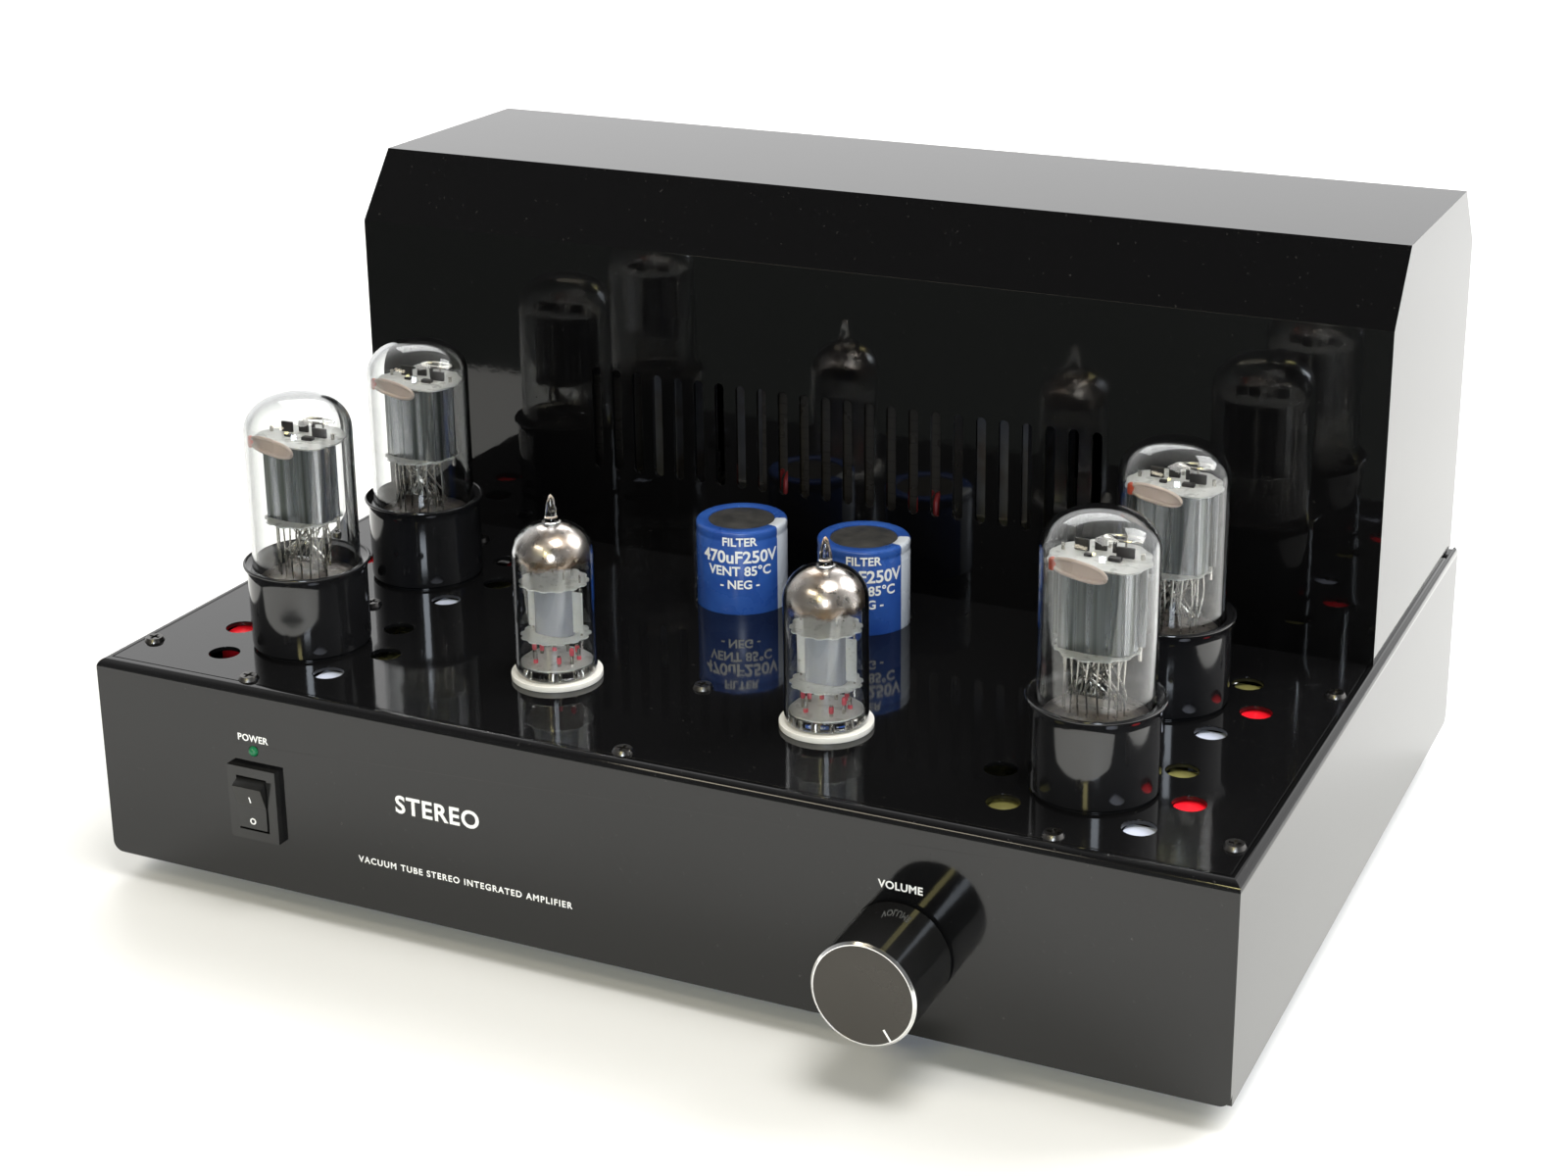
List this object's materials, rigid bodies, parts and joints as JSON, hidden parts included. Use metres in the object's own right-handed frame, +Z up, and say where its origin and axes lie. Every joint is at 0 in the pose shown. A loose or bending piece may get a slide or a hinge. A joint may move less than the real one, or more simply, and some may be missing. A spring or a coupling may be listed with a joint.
{
  "type": "tube amplifier",
  "caption": "Stereo tube amplifier with a folded steel chassis, plug-in tubes on its deck, a slotted transformer cover, a volume knob and a power rocker.",
  "frame": {"origin": "centre of the amplifier's box at the bottom of its feet", "axes": "+X along the front panel to the volume knob's side, +Y from the front panel to the back, +Z up"},
  "size_m": [0.32, 0.2784, 0.178],
  "materials": {
    "black_enamel": "gloss stove enamel",
    "rubber": "matt",
    "zinc_plate": "zinc plated",
    "black_screw": "black zinc",
    "laminations": "varnished silicon steel",
    "coil_wrap": "polyester tape",
    "lead_sleeve": "silicone sleeve",
    "board": "solder mask",
    "phenolic": "moulded phenolic",
    "ceramic": "glazed ceramic",
    "blue_sleeve": "shrink sleeve",
    "red_film": "moulded",
    "yellow_film": "dipped",
    "white_ceramic": "ceramic",
    "tube_glass": "clear",
    "electrodes": "nickel and mica",
    "switch_plastic": "fine texture",
    "green_lens": "clear tinted",
    "bare_aluminium": "turned",
    "black_anodised": "black anodised, bright edge",
    "fuse_glass": "clear",
    "gold_plate": "gold plated",
    "red_cap": "moulded",
    "black_cap": "moulded"
  },
  "bodies": {
    "chassis": {"chassis_tray": "black_enamel", "deck_plate": "black_enamel", "rear_panel": "black_enamel", "bottom_plate": "black_enamel", "feet": "rubber", "foot_screws": "zinc_plate", "panel_screws": "black_screw", "transformer_cover": "black_enamel", "mains_core": "laminations", "mains_coil": "coil_wrap", "output_core_left": "laminations", "output_core_right": "laminations", "output_coil_left": "coil_wrap", "output_coil_right": "coil_wrap", "core_clamps": "zinc_plate", "transformer_bolts": "zinc_plate", "lead_grommets": "rubber", "transformer_leads": "lead_sleeve", "circuit_board": "board", "board_pillars": "zinc_plate", "octal_sockets": "phenolic", "noval_sockets": "ceramic", "filter_capacitor_left": "blue_sleeve", "filter_capacitor_right": "blue_sleeve", "red_capacitors": "red_film", "yellow_capacitors": "yellow_film", "white_resistors": "white_ceramic", "switch_housing": "switch_plastic", "power_lamp": "green_lens", "volume_pot": "zinc_plate", "pot_nut": "zinc_plate", "power_inlet": "switch_plastic", "input_jacks": "gold_plate", "speaker_posts": "gold_plate"},
    "rocker": {"switch_rocker": "switch_plastic"},
    "volume": {"volume_shaft": "bare_aluminium", "volume_knob": "black_anodised", "knob_grub_screw": "black_screw"},
    "fuse_carrier": {"fuse_drawer": "switch_plastic", "mains_fuse": "fuse_glass"},
    "power_tube_1": {"power_base_1": "phenolic", "power_glass_1": "tube_glass", "power_cage_1": "electrodes"},
    "power_tube_2": {"power_base_2": "phenolic", "power_glass_2": "tube_glass", "power_cage_2": "electrodes"},
    "power_tube_3": {"power_base_3": "phenolic", "power_glass_3": "tube_glass", "power_cage_3": "electrodes"},
    "power_tube_4": {"power_base_4": "phenolic", "power_glass_4": "tube_glass", "power_cage_4": "electrodes"},
    "small_tube_left": {"small_glass_left": "tube_glass", "small_cage_left": "electrodes"},
    "small_tube_right": {"small_glass_right": "tube_glass", "small_cage_right": "electrodes"},
    "terminal_1": {"post_cap_1": "red_cap"},
    "terminal_2": {"post_cap_2": "black_cap"},
    "terminal_3": {"post_cap_3": "black_cap"},
    "terminal_4": {"post_cap_4": "red_cap"}
  },
  "joints": [
    {"name": "rocker_tilt", "type": "hinge", "parent": "chassis", "child": "rocker", "pos_m": [-0.1095, -0.11645, 0.0327], "axis": [-1, 0, 0], "range_deg": [0, 18]},
    {"name": "volume_turn", "type": "hinge", "parent": "chassis", "child": "volume", "pos_m": [0.0775, -0.11675, 0.03], "axis": [0, -1, 0], "range_deg": [-4, 296]},
    {"name": "power_tube_1_pull", "type": "slide", "parent": "chassis", "child": "power_tube_1", "axis": [0, 0, 1], "range_m": [0, 0.03]},
    {"name": "power_tube_2_pull", "type": "slide", "parent": "chassis", "child": "power_tube_2", "axis": [0, 0, 1], "range_m": [0, 0.03]},
    {"name": "power_tube_3_pull", "type": "slide", "parent": "chassis", "child": "power_tube_3", "axis": [0, 0, 1], "range_m": [0, 0.03]},
    {"name": "power_tube_4_pull", "type": "slide", "parent": "chassis", "child": "power_tube_4", "axis": [0, 0, 1], "range_m": [0, 0.03]},
    {"name": "small_tube_left_pull", "type": "slide", "parent": "chassis", "child": "small_tube_left", "axis": [0, 0, 1], "range_m": [0, 0.02]},
    {"name": "small_tube_right_pull", "type": "slide", "parent": "chassis", "child": "small_tube_right", "axis": [0, 0, 1], "range_m": [0, 0.02]},
    {"name": "fuse_carrier_slide", "type": "slide", "parent": "chassis", "child": "fuse_carrier", "axis": [0, 1, 0], "range_m": [0, 0.018]},
    {"name": "terminal_1_turn", "type": "hinge", "parent": "chassis", "child": "terminal_1", "pos_m": [-0.017, 0.13325, 0.03503], "axis": [0, 1, 0], "range_deg": [0, 1080]},
    {"name": "terminal_2_turn", "type": "hinge", "parent": "chassis", "child": "terminal_2", "pos_m": [-0.036, 0.13325, 0.03503], "axis": [0, 1, 0], "range_deg": [0, 1080]},
    {"name": "terminal_3_turn", "type": "hinge", "parent": "chassis", "child": "terminal_3", "pos_m": [0.017, 0.13325, 0.03503], "axis": [0, 1, 0], "range_deg": [0, 1080]},
    {"name": "terminal_4_turn", "type": "hinge", "parent": "chassis", "child": "terminal_4", "pos_m": [0.036, 0.13325, 0.03503], "axis": [0, 1, 0], "range_deg": [0, 1080]}
  ]
}
